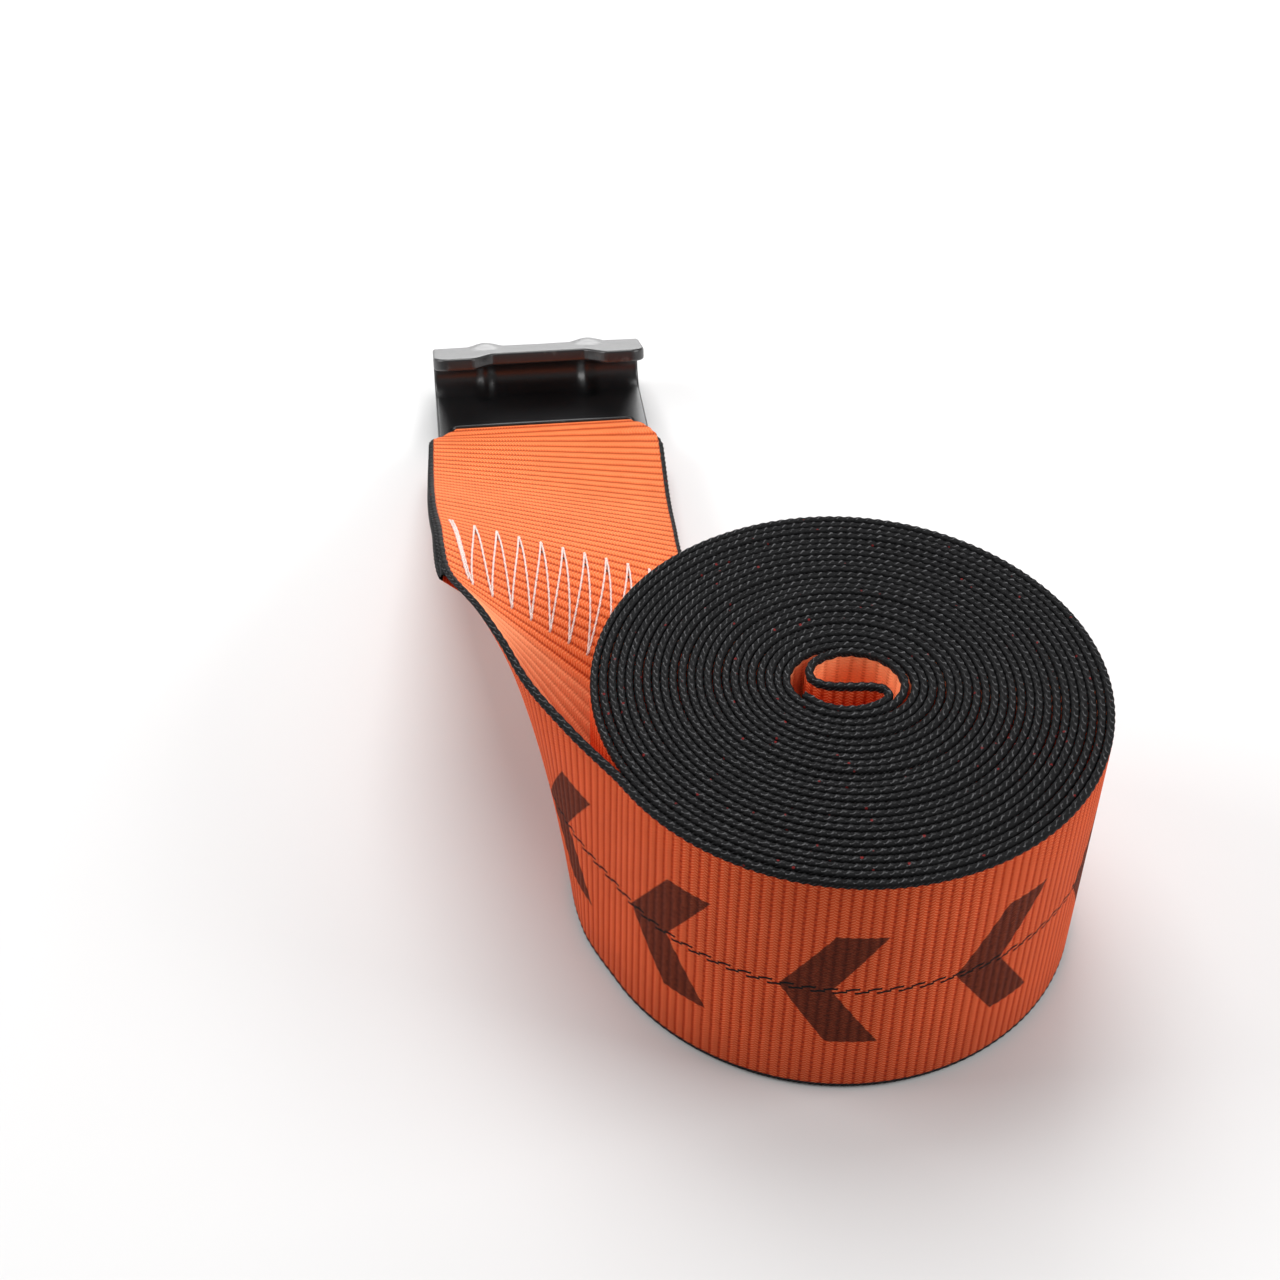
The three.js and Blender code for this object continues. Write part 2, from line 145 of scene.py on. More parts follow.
def read_along(values: Array, at: Array, wanted: Array) -> Array:
    """Interpolates rows of values.

    Args:
        values: Rows, one for each entry of at.
        at: Rising positions of the rows.
        wanted: Positions to read.

    Returns:
        The rows at the wanted positions.
    """
    return np.stack([np.interp(wanted, at, column) for column in values.T], axis=1)


@dataclass
class Strip:
    """Stations along the webbing: its middle, its two directions, half its width and its run."""

    centre: Array
    across: Array
    normal: Array
    half: Array
    run: Array

    def then(self, other: "Strip") -> "Strip":
        """Appends the stations of another strip, whose run goes on from this one's."""
        gap = np.linalg.norm(other.centre[0] - self.centre[-1])
        run = other.run - other.run[0] + self.run[-1] + gap
        return Strip(
            np.vstack([self.centre, other.centre]),
            np.vstack([self.across, other.across]),
            np.vstack([self.normal, other.normal]),
            np.concatenate([self.half, other.half]),
            np.concatenate([self.run, run]),
        )


def lay_strip(points: Array, lean: Array, half: Array, wanted: Array) -> Strip:
    """Sets a strip along a line.

    Args:
        points: The line.
        lean: Angle of the webbing at each point: a quarter turn on edge, nothing when flat.
        half: Half width at each point.
        wanted: Runs of the stations.

    Returns:
        The strip.
    """
    run = run_length(points)
    forward = unit(np.gradient(points, run, axis=0))
    packed = read_along(np.column_stack([points, forward, lean, half]), run, wanted)
    centre, forward, lean_at, half_at = packed[:, :3], unit(packed[:, 3:6]), packed[:, 6:7], packed[:, 7]
    level = unit(np.cross(UP, forward))
    across = level * np.cos(lean_at) + UP * np.sin(lean_at)
    across = unit(across - forward * np.sum(across * forward, axis=1, keepdims=True))
    return Strip(centre, across, np.cross(forward, across), half_at, wanted)


class Sock:
    """A shader socket whose arithmetic adds Math nodes."""

    def __init__(self, sheet: "NodeSheet", socket: bpy.types.NodeSocket) -> None:
        """Wraps a socket of a sheet's tree."""
        self.sheet = sheet
        self.socket = socket

    def math(self, operation: str, *others: "Sock | float") -> "Sock":
        """Adds a Math node with this value first."""
        return self.sheet.add("ShaderNodeMath", {"operation": operation}, dict(enumerate([self, *others])))

    def __add__(self, other: "Sock | float") -> "Sock":
        """Adds."""
        return self.math("ADD", other)

    __radd__ = __add__

    def __mul__(self, other: "Sock | float") -> "Sock":
        """Multiplies."""
        return self.math("MULTIPLY", other)

    __rmul__ = __mul__

    def __sub__(self, other: "Sock | float") -> "Sock":
        """Subtracts."""
        return self.math("SUBTRACT", other)

    def __rsub__(self, other: float) -> "Sock":
        """Subtracts this value from a number."""
        return self.math("MULTIPLY", -1.0).math("ADD", other)

    def __truediv__(self, other: "Sock | float") -> "Sock":
        """Divides."""
        return self.math("DIVIDE", other)

    def __abs__(self) -> "Sock":
        """Drops the sign."""
        return self.math("ABSOLUTE")

    def fraction(self) -> "Sock":
        """Keeps what follows the whole number."""
        return self.math("FRACT")

    def whole(self) -> "Sock":
        """Rounds down."""
        return self.math("FLOOR")

    def wave(self) -> "Sock":
        """Gives a cosine of this many turns."""
        return (self * math.tau).math("COSINE")

    def below(self, limit: "Sock | float") -> "Sock":
        """Is 1 where this value is below a limit."""
        return self.math("LESS_THAN", limit)

    def most(self, other: "Sock | float") -> "Sock":
        """Takes the larger value."""
        return self.math("MAXIMUM", other)

    def ease(self, low: float, high: float) -> "Sock":
        """Eases from 0 at low to 1 at high; low may be the larger."""
        swapped = low > high
        first, last = (high, low) if swapped else (low, high)
        return self.sheet.add(
            "ShaderNodeMapRange",
            {"interpolation_type": "SMOOTHSTEP"},
            {0: self, 1: first, 2: last, 3: float(swapped), 4: float(not swapped)},
        )


class NodeSheet:
    """A material's node tree with one way to add a node."""

    def __init__(self, name: str) -> None:
        """Starts an empty material."""
        self.material = bpy.data.materials.new(name)
        self.material.use_nodes = True
        self.tree = self.material.node_tree
        self.tree.nodes.clear()

    def add(
        self,
        kind: str,
        settings: Mapping[str, Any] | None = None,
        values: Mapping[int | str, Any] | None = None,
        output: int | str = 0,
    ) -> Sock:
        """Adds a node.

        Args:
            kind: Node type.
            settings: Properties, set before the sockets.
            values: Numbers, colours or sockets for its inputs.
            output: The output to hand back.

        Returns:
            The chosen output.
        """
        node = self.tree.nodes.new(kind)
        for key, value in (settings or {}).items():
            setattr(node, key, value)
        for key, value in (values or {}).items():
            if isinstance(value, Sock):
                self.tree.links.new(value.socket, node.inputs[key])
            else:
                node.inputs[key].default_value = value
        return Sock(self, node.outputs[output])

    def blend(self, share: Sock | float, low: Any, high: Any) -> Sock:
        """Mixes two colours, low where share is 0 and high where it is 1."""
        low, high = (tone if isinstance(tone, Sock) else (*tone, 1.0) for tone in (low, high))
        values = {0: share, 6: low, 7: high}
        return self.add("ShaderNodeMix", {"data_type": "RGBA"}, values, output=2)

    def noise(self, place: Sock, scale: float, detail: float = 2.0) -> Sock:
        """Adds noise from about 0 to 1."""
        return self.add("ShaderNodeTexNoise", None, {"Vector": place, "Scale": scale, "Detail": detail})

    def bump(self, height: Sock, distance: float, strength: float = 1.0) -> Sock:
        """Turns a height in units of distance into a normal."""
        values = {"Strength": strength, "Distance": distance, "Height": height}
        return self.add("ShaderNodeBump", None, values)

    def finish(self, values: Mapping[str, Any]) -> bpy.types.Material:
        """Adds the shader and the output.

        Args:
            values: The shader's inputs.

        Returns:
            The material.
        """
        shader = self.add("ShaderNodeBsdfPrincipled", None, values)
        self.add_output(shader)
        return self.material

    def add_output(self, shader: Sock) -> None:
        """Links a shader to the surface."""
        node = self.tree.nodes.new("ShaderNodeOutputMaterial")
        self.tree.links.new(shader.socket, node.inputs["Surface"])


Tone = tuple[float, float, float]


@dataclass(frozen=True)
class WebbingFinish:
    """Ribbed orange polyester with black selvedges, a centre tracer and printed chevrons; painted highlight
    on rib crests, yarn crowns and the inner face, painted shade in grooves, pits, needle holes and on the
    outer face, and painted sheen on the black braid.
    """

    # Painted highlight tone for the rib crests and yarn crowns.
    crest: Tone = (0.90, 0.205, 0.060)
    face: Tone = (0.74, 0.122, 0.026)
    # Painted shade tone for the rib grooves and the pits between the yarns.
    groove_shade: Tone = (0.27, 0.019, 0.005)
    # Painted light tone: a lit orange for the inner face and the yarn floats.
    lit_orange: Tone = (0.95, 0.33, 0.15)
    # Painted shade tone for the outer face.
    outer_face_shade: Tone = (0.52, 0.030, 0.004)
    ink: Tone = (0.050, 0.010, 0.005)
    selvedge: Tone = (0.0052, 0.0052, 0.0058)
    # Painted sheen tone for the light dashes on the black braid.
    strand_sheen: Tone = (0.105, 0.105, 0.109)
    speck: Tone = (0.20, 0.010, 0.010)
    rib_pitch: float = 3.4
    inner_pitch: float = 4.8
    warp_pitch: float = 1.27
    half_width: float = 50.8
    selvedge_width: float = 2.1
    hole_run: float = 0.0
    hole_pitch: float = 8.76
    hole_span: float = 43.8
    tracer_pitch: float = 6.8
    chevron_pitch: float = 56.0
    chevron_height: float = 26.0
    chevron_stroke: float = 8.2

    def chevrons(self, sheet: NodeSheet, run: Sock, side: Sock, rough: Sock) -> Sock:
        """Masks bold chevrons along the outer face."""
        place = ((run / self.chevron_pitch).fraction() - 0.5) * self.chevron_pitch
        arm = abs(place + abs(side) * 0.62 - 7.0 + rough * 0.8)
        inside = arm.ease(self.chevron_stroke + 0.25, self.chevron_stroke - 0.25)
        reach = (abs(side) + rough * 0.6).ease(self.chevron_height + 0.25, self.chevron_height - 0.25)
        return inside * reach

    def tracer(self, run: Sock, side: Sock) -> Sock:
        """Masks two staggered rows of short slanted dashes along the middle."""
        rows = []
        for offset, start in ((0.75, 0.0), (-0.75, 0.42)):
            turn = ((run / self.tracer_pitch) + start).fraction() - 0.5
            line = abs(side - offset + turn * 1.1)
            rows.append(line.ease(0.62, 0.34) * abs(turn).ease(0.36, 0.30))
        return rows[0].most(rows[1])

    def build(self) -> bpy.types.Material:
        """Builds the material.

        Returns:
            The material.
        """
        sheet = NodeSheet("webbing_polyester")
        place = sheet.add("ShaderNodeAttribute", {"attribute_name": WEAVE}, output="Vector")
        run, side, depth = (
            sheet.add("ShaderNodeSeparateXYZ", None, {0: place}, output=axis) for axis in range(3)
        )
        fuzz = sheet.noise(place, 0.9, 3.0) - 0.5
        broad = sheet.noise(place, 0.045, 2.0) - 0.5
        blotch = sheet.noise(place, 0.22, 2.0) - 0.5
        outer = depth.below(0.0)
        inner = 1.0 - outer
        sewn = (run - self.hole_run).ease(-62.0, -54.0)
        turn = run * (outer / self.rib_pitch + inner / self.inner_pitch) + blotch * 0.14 + fuzz * 0.07
        ridge = (turn - 0.5).wave() * 0.5 + 0.5
        row = (turn * 2.0).whole()
        slant = ((turn * 2.0).fraction() - 0.5) * ((row * 0.5).fraction() * 3.2 - 0.8)
        warp = side / self.warp_pitch + row * 0.5 + slant
        yarn = (warp - 0.5).wave() * 0.5 + 0.5
        # Painted highlight: the rib crests and yarn crowns are blended lighter than the dye tone.
        orange = sheet.blend(ridge * 0.5 + yarn * 0.5, self.face, self.crest)
        # Painted light: the inner face away from the seam is blended towards a lit orange, and its painted
        # groove shade is eased.
        lit_inner = inner * (1.0 - sewn)
        orange = sheet.blend(lit_inner * 0.85, orange, self.lit_orange)
        # Painted shade: the whole outer face is blended darker and deeper in colour.
        orange = sheet.blend(outer * 0.72, orange, self.outer_face_shade)
        # Painted shade in the rib grooves.
        shade = 0.24 + blotch * 0.35 + inner * 0.12 - lit_inner * 0.24
        orange = sheet.blend(ridge.ease(0.62, 0.0) * shade, orange, self.groove_shade)
        # Painted shade in the pits between the yarns along the grooves.
        dots = (side / (self.warp_pitch * (outer + 1.0)) + fuzz * 0.08).wave() * 0.5 + 0.5
        pits = ridge.ease(0.22, 0.03) * dots.ease(0.35, 0.95)
        orange = sheet.blend(pits * (0.66 + inner * 0.16 - lit_inner * 0.50), orange, self.groove_shade)
        # Painted highlight on the yarn floats along the rib crests.
        stitches = yarn.ease(0.6, 1.0) * ridge.ease(0.05, 0.35)
        orange = sheet.blend(stitches * (0.46 + inner * 0.16), orange, self.lit_orange)
        ink = self.chevrons(sheet, run, side, fuzz) * outer
        orange = sheet.blend(ink * (0.90 + fuzz * 0.4 - ridge * 0.05), orange, self.ink)
        orange = sheet.blend(self.tracer(run, side) * outer, orange, self.selvedge)
        # Painted shade: dark dots at the needle holes of the seam's first row, in the print's dark tone.
        across = ((side - self.hole_span) / self.hole_pitch + 0.5).fraction() - 0.5
        along = (run - self.hole_run) / self.hole_pitch
        needle_hole_shade = (across * across + along * along).ease(0.0105, 0.0045) * inner
        orange = sheet.blend(needle_hole_shade, orange, self.ink)

        # Painted sheen: light grey dashes on the black braided selvedge and its faces, in patches.
        lane = depth / 1.44
        braid = run / self.rib_pitch + blotch * 0.55
        lit = sheet.noise(place, 0.55, 1.0).ease(0.30, 0.66) * 0.75 + 0.25
        ragged = fuzz * 0.10
        long_dash = (abs(lane + 0.12 + braid.wave() * 0.34) + ragged).ease(0.20, 0.06)
        long_dash = long_dash * (braid + 0.2).wave().ease(-0.55, 0.1)
        short_dash = (abs(lane - 0.42 - (braid + 0.15).wave() * 0.2) + ragged).ease(0.17, 0.05)
        short_dash = short_dash * (braid + 0.6).wave().ease(0.1, 0.8)
        strand_sheen = long_dash.most(short_dash * 0.55) * lit
        face_braid = (run / (self.rib_pitch / 2) + side * 0.55).wave().ease(0.35, 0.95) * 0.35
        on_edge = abs(side).ease(self.half_width - 1.35, self.half_width - 0.8)
        black = sheet.blend(strand_sheen * on_edge + face_braid * (1.0 - on_edge), self.selvedge, self.strand_sheen)
        flecks = sheet.add("ShaderNodeTexVoronoi", None, {"Vector": place, "Scale": 0.16})
        black = sheet.blend(flecks.ease(0.10, 0.05) * 0.8, black, self.speck)
        border = (abs(side) + fuzz * 0.7 + ridge * 0.25).ease(
            self.half_width - self.selvedge_width - 0.15, self.half_width - self.selvedge_width + 0.15
        )
        colour = sheet.blend(border, orange, black)
        colour = sheet.add(
            "ShaderNodeHueSaturation",
            None,
            {"Value": 1.0 + broad * 0.22 + blotch * 0.16 + fuzz * 0.12, "Color": colour},
        )
        height = yarn * 0.45 + ridge * 0.35 + fuzz * 0.3
        return sheet.finish({
            "Base Color": colour,
            "Roughness": 0.80 - border * 0.12 + fuzz * 0.12,
            "Normal": sheet.bump(height, 0.00026, 0.8),
            "Specular IOR Level": 0.12,
        })


@dataclass(frozen=True)
class CoatFinish:
    """Satin black coat on the hook, with fine orange peel and rubbed rims."""

    coat: Tone = (0.0105, 0.0105, 0.0115)
    rubbed: Tone = (0.060, 0.058, 0.056)

    def build(self) -> bpy.types.Material:
        """Builds the material.

        Returns:
            The material.
        """
        sheet = NodeSheet("hook_satin_coat")
        place = sheet.add("ShaderNodeTexCoord", output="Object")
        peel = sheet.noise(place, 620.0, 2.0)
        cloud = sheet.noise(place, 38.0, 3.0)
        grit = sheet.noise(place, 240.0, 4.0)
        rim = sheet.add("ShaderNodeAttribute", {"attribute_name": "rim"}, output="Fac")
        wear = rim * (grit * 0.6 + cloud * 0.6).ease(0.62, 0.78)
        colour = sheet.blend(wear * 0.7, self.coat, self.rubbed)
        return sheet.finish({
            "Base Color": colour,
            "Roughness": 0.30 + cloud * 0.14 + wear * 0.12,
            "Normal": sheet.bump(peel * 0.7 + grit * 0.3, 0.00012, 0.5),
            "Metallic": 0.0,
            "Specular IOR Level": 0.6,
            "Coat Weight": 0.25,
            "Coat Roughness": 0.22,
        })


@dataclass(frozen=True)
class ThreadFinish:
    """Bonded white thread of twisted plies."""

    light: Tone = (0.86, 0.82, 0.80)
    shade: Tone = (0.60, 0.30, 0.22)

    def build(self) -> bpy.types.Material:
        """Builds the material.

        Returns:
            The material.
        """
        sheet = NodeSheet("seam_thread")
        place = sheet.add("ShaderNodeAttribute", {"attribute_name": WEAVE}, output="Vector")
        run, turn = (sheet.add("ShaderNodeSeparateXYZ", None, {0: place}, output=axis) for axis in range(2))
        ply = (run * 0.55 + turn * 3.0).wave() * 0.5 + 0.5
        hair = sheet.noise(place, 2.4, 3.0)
        gloss_patches = sheet.noise(place, 0.9, 2.0).ease(0.30, 0.52)
        # Painted sheen on the ply crowns and painted shade between the plies, stronger in random patches.
        gloss = (ply.ease(0.0, 0.6) * 0.7 + hair * 0.3) * (0.35 + gloss_patches * 0.65)
        colour = sheet.blend(gloss, self.shade, self.light)
        return sheet.finish({
            "Base Color": colour,
            "Roughness": 0.5 + hair * 0.2,
            "Normal": sheet.bump(ply, 0.00012, 0.7),
            "Sheen Weight": 0.3,
        })


@dataclass(frozen=True)
class FloorFinish:
    """Plain pale studio floor."""

    tone: Tone = (0.74, 0.74, 0.74)
    veil: Tone = (0.70, 0.70, 0.70)

    def build(self) -> bpy.types.Material:
        """Builds the material."""
        sheet = NodeSheet("studio_floor")
        place = sheet.add("ShaderNodeTexCoord", output="Object")
        veil = sheet.noise(place, 3.0)
        colour = sheet.blend(veil * 0.03, self.tone, self.veil)
        return sheet.finish({"Base Color": colour, "Roughness": 0.7})


def make_object(name: str, mesh: bpy.types.Mesh, material: bpy.types.Material) -> bpy.types.Object:
    """Puts a mesh into the scene at the origin.

    Args:
        name: Name of the piece.
        mesh: Its mesh, in the row frame.
        material: Its finish.

    Returns:
        The object.
    """
    mesh.name = name
    mesh.materials.append(material)
    piece = bpy.data.objects.new(name, mesh)
    bpy.context.scene.collection.objects.link(piece)
    return piece


def wrapped_grid(name: str, rings: Array, weave: Array) -> bpy.types.Mesh:
    """Wraps a grid round a route.

    Args:
        name: Name of the mesh.
        rings: Places (stations, ring points, 3) in roll-axis millimetres.
        weave: Fabric coordinates of the same points.

    Returns:
        A tube that is open at its two ends.
    """
    stations, ring = rings.shape[:2]
    grid = bmesh.new()
    bmesh.ops.create_grid(grid, x_segments=ring, y_segments=stations - 1, size=1.0)
    mesh = bpy.data.meshes.new(name)
    grid.to_mesh(mesh)
    grid.free()
    flat = np.empty(len(mesh.vertices) * 3, dtype=np.float32)
    mesh.vertices.foreach_get("co", flat)
    flat = flat.reshape(-1, 3)
    column = np.rint((flat[:, 0] + 1) / 2 * ring).astype(int) % ring
    line = np.rint((flat[:, 1] + 1) / 2 * (stations - 1)).astype(int)
    mesh.vertices.foreach_set("co", to_row(rings[line, column]).astype(np.float32).ravel())
    layer = mesh.attributes.new(WEAVE, "FLOAT_VECTOR", "POINT")
    layer.data.foreach_set("vector", weave[line, column].astype(np.float32).ravel())
    return mesh


def close_tube(meshes: Sequence[bpy.types.Mesh], name: str) -> bpy.types.Mesh:
    """Welds wrapped grids into one closed body.

    Args:
        meshes: Tubes in order, each starting close to the end of the one before.
        name: Name of the result.

    Returns:
        The closed mesh, smooth, with outward normals.
    """
    body = bmesh.new()
    for mesh in meshes:
        body.from_mesh(mesh)
    bmesh.ops.remove_doubles(body, verts=body.verts[:], dist=1e-6)
    layer = body.verts.layers.float_vector[WEAVE]
    open_edges = [edge for edge in body.edges if len(edge.link_faces) == 1]
    runs = sorted({round(edge.verts[0][layer].x, 2) for edge in open_edges})
    near = {run: [edge for edge in open_edges if abs(edge.verts[0][layer].x - run) < 0.02] for run in runs}
    bmesh.ops.holes_fill(body, edges=near[runs[0]], sides=0)
    bmesh.ops.holes_fill(body, edges=near[runs[-1]], sides=0)
    for first, second in zip(runs[1:-1:2], runs[2:-1:2]):
        bmesh.ops.bridge_loops(body, edges=near[first] + near[second])
    bmesh.ops.recalc_face_normals(body, faces=body.faces[:])
    for face in body.faces:
        face.smooth = True
    whole = bpy.data.meshes.new(name)
    body.to_mesh(whole)
    body.free()
    for mesh in meshes:
        bpy.data.meshes.remove(mesh)
    return whole


@dataclass
class Tail:
    """The webbing between the roll and the hook: it leaves the roll on edge and turns flat."""

    thickness: float = 2.8
    width: float = 101.6
    roll_middle_radius: float = 85.125
    leave_angle: float = math.radians(-148.0)
    lead_in: float = 10.0
    bar_offset: tuple[float, float] = (-39.1, 290.5)
    bar_yaw: float = math.radians(6.9)
    slope: float = math.radians(10.0)
    loop_radius: float = 6.8035
    layer_closing: float = 32.0
    layer_gap: float = 0.4
    droop: float = 0.030
    pinched_width: float = 79.0
    pinch_hold: float = -2.0
    pinch_taper: float = 18.0
    stations: tuple[tuple[float, float, float, float], ...] = (
        (-14.7, 21.7, 0.5, 87.5),
        (-24.6, 45.2, 1.0, 81.5),
        (-27.6, 69.4, 3.4, 72.0),
        (-27.0, 91.9, 10.0, 57.0),
        (-26.2, 113.3, 20.5, 40.5),
        (-25.4, 136.9, 30.4, 28.0),
        (-26.0, 161.9, 34.0, 20.0),
        (-30.3, 198.8, 27.3, 14.6),
        (-34.0, 235.5, 18.0, 9.5),
    )
    points: Array = field(init=False)
    lean: Array = field(init=False)
    start_sample: int = field(init=False)
    per_span: int = 80

    def __post_init__(self) -> None:
        """Works out the middle line and the lean along it."""
        yaw, slope = self.bar_yaw, self.slope
        outward = np.array([math.cos(self.leave_angle), math.sin(self.leave_angle), 0.0])
        leave = outward * self.roll_middle_radius
        forward = np.array([math.sin(self.leave_angle), -math.cos(self.leave_angle), 0.0])
        bar_height = self.loop_radius + self.thickness / 2
        self.bar = np.array([leave[0] + self.bar_offset[0], leave[1] + self.bar_offset[1], bar_height])
        self.bar_across = np.array([-math.cos(yaw), -math.sin(yaw), 0.0])
        self.end_forward = np.array([
            -math.sin(yaw) * math.cos(slope), math.cos(yaw) * math.cos(slope), -math.sin(slope),
        ])
        self.end_normal = unit(np.cross(self.end_forward, self.bar_across))
        start = leave + UP * self.width / 2
        end = self.bar + self.end_normal * self.loop_radius
        lifted = [
            (leave[0] + x, leave[1] + y, clearance + math.sin(math.radians(lean)) * self.width / 2)
            for x, y, clearance, lean in self.stations
        ]
        line = np.array([
            start - forward * self.lead_in, start, *lifted, end - self.end_forward * self.lead_in, end,
        ])
        self.points, index = centripetal(line, self.per_span)
        leans = np.radians([90.0, 90.0, *(station[3] for station in self.stations), 2.0, 0.0])
        self.lean = eased_values(leans, index)
        self.start_sample = self.per_span
        self.length = float(run_length(self.points)[-1])

    def half_at(self, back: Array) -> Array:
        """Half the width at distances back from the bar, folded in to pass the slot."""
        opened = np.clip((back - self.pinch_hold) / self.pinch_taper, 0.0, 1.0)
        rounded = opened * (1.0 + 0.8 * (1.0 - opened))
        return (self.pinched_width + (self.width - self.pinched_width) * rounded) / 2

    def top_layer(self, back: Array) -> Strip:
        """Reads the upper layer.

        Args:
            back: Distances back from the bar.

        Returns:
            Its stations, in the same order.
        """
        run = self.length - back
        order = np.argsort(run)
        laid = lay_strip(self.points, self.lean, np.zeros(len(self.points)), run[order])
        undo = np.argsort(order)
        return Strip(laid.centre[undo], laid.across[undo], laid.normal[undo], self.half_at(back), back)

    def fold_back(self, back: Array, stitched_to: float = 184.0) -> Strip:
        """Reads the layer that is folded back under the upper one.

        Args:
            back: Distances back from the bar.
            stitched_to: Where the seam ends and the cut end hangs free.

        Returns:
            Its stations.
        """
        held = np.minimum(back, stitched_to)
        laid = self.top_layer(held)
        closed = smoothstep(back / self.layer_closing)[:, None]
        spacing = 2 * self.loop_radius * (1 - closed) + (self.thickness + self.layer_gap) * closed
        free = np.maximum(back - stitched_to, 0.0)[:, None]
        away = np.cross(laid.normal, laid.across)
        laid.centre = laid.centre - laid.normal * (spacing + self.droop * free ** 2) - away * free
        laid.normal = -laid.normal
        return laid

    def loop(self, steps: int) -> Strip:
        """Half a turn round the bar."""
        turn = np.linspace(0.0, math.pi, steps + 1)[1:-1, None]
        outward = self.end_normal * np.cos(turn) + self.end_forward * np.sin(turn)
        count = len(turn)
        return Strip(
            self.bar + outward * self.loop_radius,
            np.repeat(self.bar_across[None], count, axis=0),
            outward,
            np.full(count, self.pinched_width / 2),
            self.loop_radius * turn[:, 0],
        )


@dataclass
class Webbing:
    """The whole strap: the roll with its crossed core, the outer turn, the tail and the fold-back."""

    tail: Tail
    thickness: float = 2.8
    width: float = 101.6
    pitch: float = 2.95
    outer_middle: float = 85.125
    full_turns: int = 23
    start_angle: float = math.radians(58.0)
    rib_pitch: float = 3.4
    inner_pitch: float = 4.8
    rib_depth: float = 0.24
    coil_steps_per_rib: int = 4
    tail_steps_per_rib: int = 6
    hidden_overlap: float = math.radians(372.0)
    fold_back_length: float = 194.0
    core: tuple[tuple[float, float], ...] = (
        (-12.4, -7.2), (-7.05, -12.2), (0.0, -13.85), (6.7, -11.6), (10.9, -7.2), (10.1, -3.7),
        (6.3, -2.3), (0.0, -2.5), (-6.8, -2.0), (-10.1, 0.6), (-10.9, 4.6), (-9.6, 9.0), (-6.0, 12.6),
        (0.0, 14.9), (7.7, 13.2), (13.4, 7.7), (15.8, 0.0), (13.8, -7.95), (8.2, -14.2), (0.0, -16.8),
        (-8.5, -14.8),
    )

    def squeeze(self, flat: Array) -> Array:
        """Pulls the round turns into the slightly wide ones near the core."""
        radius = np.hypot(flat[:, 0], flat[:, 1])
        share = np.clip((86.6 - radius) / 69.6, 0.0, 1.0)
        scale = share / np.maximum(radius, 17.0)
        return np.column_stack([
            flat[:, 0] * (1 + 2.6 * scale),
            flat[:, 1] * (1 - 1.0 * scale) + 1.0 * share,
        ])

    def coil_line(self) -> tuple[Array, float]:
        """Draws the roll's middle line from the cut end in the core to where the tail leaves.

        Returns:
            The points, and the run at which the outer turn starts.
        """
        core, index = centripetal(np.array(self.core), 24)
        core = core[index < len(self.core) - 2]
        last = self.start_angle + math.tau * self.full_turns
        sweep = np.linspace(last, 0.0, int(last / math.radians(0.75)))
        radius = self.outer_middle - self.pitch * sweep / math.tau
        radius = radius + 0.09 * np.sin(sweep / 4.3) * smoothstep(sweep / 6.0)
        angle = self.tail.leave_angle + sweep
        spiral = np.column_stack([radius * np.cos(angle), radius * np.sin(angle)])
        flat = self.squeeze(np.vstack([core, spiral]))
        run = run_length(flat)
        uneven = 1 + np.sin(run / 61.0 + 0.7 * np.sin(run / 23.0))
        lift = 0.28 * uneven * smoothstep((run[-1] - run) / 90.0)
        points = np.column_stack([flat, self.width / 2 + lift])
        run = run_length(points)
        outer = np.interp(-self.hidden_overlap, -np.concatenate([np.full(len(core), last), sweep]), run)
        return points, float(outer)

    def route(self) -> tuple[Strip, Strip]:
        """Lays the strap out.

        Returns:
            The roll's hidden turns, and the outer turn with the tail, the loop and the fold-back.
        """
        coil, outer_start = self.coil_line()
        start = self.tail.start_sample
        points = np.vstack([coil, self.tail.points[start + 1:]])
        lean = np.concatenate([np.full(len(coil), math.pi / 2), self.tail.lean[start + 1:]])
        total = float(run_length(points)[-1])
        half = self.tail.half_at(total - run_length(points))
        coarse = self.rib_pitch / self.coil_steps_per_rib
        fine = self.rib_pitch / self.tail_steps_per_rib
        split = self.rib_pitch * math.floor(outer_start / self.rib_pitch)
        inner = lay_strip(points, lean, half, np.arange(0.0, split, coarse))
        outer = lay_strip(points, lean, half, np.arange(split, total, fine))
        loop = self.tail.loop(round(math.pi * self.tail.loop_radius / fine))
        back = self.tail.fold_back(np.arange(0.0, self.fold_back_length, fine))
        return inner, outer.then(loop).then(back)

    def face_depth(self, run: Array, pitch: float) -> Array:
        """How far a face stands from the middle, rib by rib."""
        crest = 0.5 - 0.5 * np.cos(math.tau * run / pitch)
        return self.thickness / 2 - self.rib_depth * (1 - crest ** 0.7)

    def edge_points(self, strip: Strip, sign: int) -> list[tuple[Array, Array]]:
        """One selvedge from the outer face to the inner one: two braided yarns with a furrow between."""
        turn = math.tau * strip.run / self.rib_pitch
        half = strip.half
        outer_face = self.face_depth(strip.run, self.rib_pitch)
        inner_face = self.face_depth(strip.run, self.inner_pitch)
        wave = 0.20 * np.cos(turn)
        return [
            (sign * (half - 0.95), -outer_face),
            (sign * (half - 0.18 + wave), -0.74 + 0.10 * np.sin(turn)),
            (sign * (half - 0.62), 0.10 * np.sin(turn)),
            (sign * (half - 0.18 - wave), 0.74 + 0.10 * np.sin(turn)),
            (sign * (half - 0.95), inner_face),
        ]

